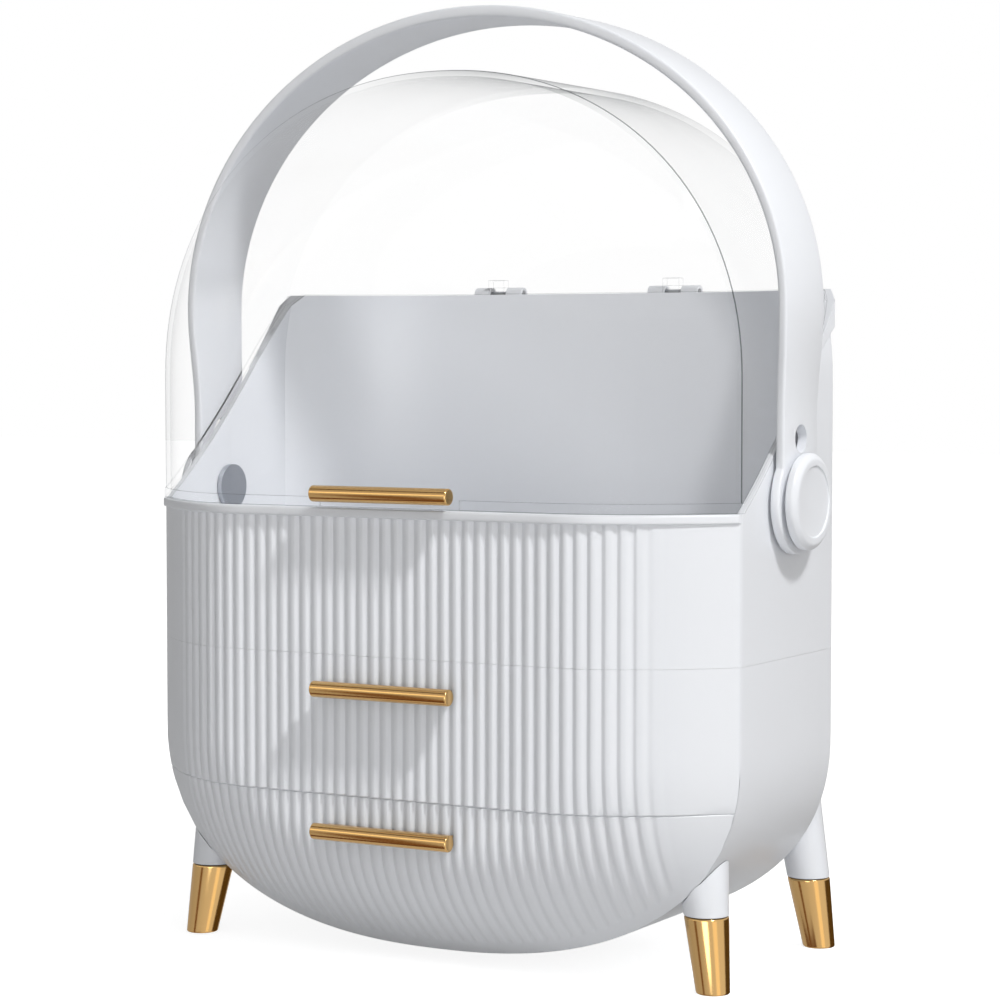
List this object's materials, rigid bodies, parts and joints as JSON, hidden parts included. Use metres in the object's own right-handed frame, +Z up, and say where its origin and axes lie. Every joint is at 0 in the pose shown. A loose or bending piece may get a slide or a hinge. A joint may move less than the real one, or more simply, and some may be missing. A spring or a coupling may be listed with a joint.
{
  "type": "dustproof makeup organizer",
  "caption": "Egg-shaped makeup organizer with a clear hinged hood over an open bin, fluted drawers below, a folding carry handle and splayed gold-tipped legs.",
  "frame": {"origin": "on the floor, under the middle of the whole object's width and depth", "axes": "+X to the object's right as seen from the front, +Y to its back, +Z up; the drawers open towards -Y"},
  "size_m": [0.3034, 0.1834, 0.4028],
  "materials": {
    "white": "satin injection-moulded ABS",
    "clear": "clear polished styrene",
    "gold": "polished gold anodising",
    "steel": "zinc plated"
  },
  "bodies": {
    "case": {"drawer_case": "white", "drawer_shelf": "white", "bin_case": "white", "bin_front": "white", "pivot_stud_left": "steel", "pivot_stud_right": "steel", "pivot_cap_left": "white", "pivot_cap_right": "white", "hinge_pin_left": "steel", "hinge_pin_right": "steel", "case_screw_left": "steel", "case_screw_right": "steel", "leg_front_left": "white", "leg_front_right": "white", "leg_rear_left": "white", "leg_rear_right": "white", "leg_tip_front_left": "gold", "leg_tip_front_right": "gold", "leg_tip_rear_left": "gold", "leg_tip_rear_right": "gold", "leg_screw_front_left": "steel", "leg_screw_front_right": "steel", "leg_screw_rear_left": "steel", "leg_screw_rear_right": "steel"},
    "lid": {"lid_hood": "clear", "lid_pull": "gold", "lid_pull_screw_left": "steel", "lid_pull_screw_right": "steel"},
    "handle": {"carry_handle": "white"},
    "upper_drawer": {"upper_drawer_front": "white", "upper_drawer_tray": "white", "upper_drawer_pull": "gold", "upper_drawer_pull_screw_left": "steel", "upper_drawer_pull_screw_right": "steel"},
    "lower_drawer": {"lower_drawer_front": "white", "lower_drawer_tray": "white", "lower_drawer_pull": "gold", "lower_drawer_pull_screw_left": "steel", "lower_drawer_pull_screw_right": "steel"}
  },
  "joints": [
    {"name": "lid_open", "type": "hinge", "parent": "case", "child": "lid", "pos_m": [0, 0.08855, 0.2835], "axis": [-1, 0, 0], "range_deg": [0, 60]},
    {"name": "handle_fold", "type": "hinge", "parent": "case", "child": "handle", "pos_m": [0, 0.0015, 0.1961], "axis": [-1, 0, 0], "range_deg": [0, 108]},
    {"name": "upper_drawer_slide", "type": "slide", "parent": "case", "child": "upper_drawer", "axis": [0, -1, 0], "range_m": [0, 0.075]},
    {"name": "lower_drawer_slide", "type": "slide", "parent": "case", "child": "lower_drawer", "axis": [0, -1, 0], "range_m": [0, 0.075]}
  ],
  "couplings": [
    {"joint": "handle_fold", "follows": "lid_open", "ratio": 1.8}
  ]
}
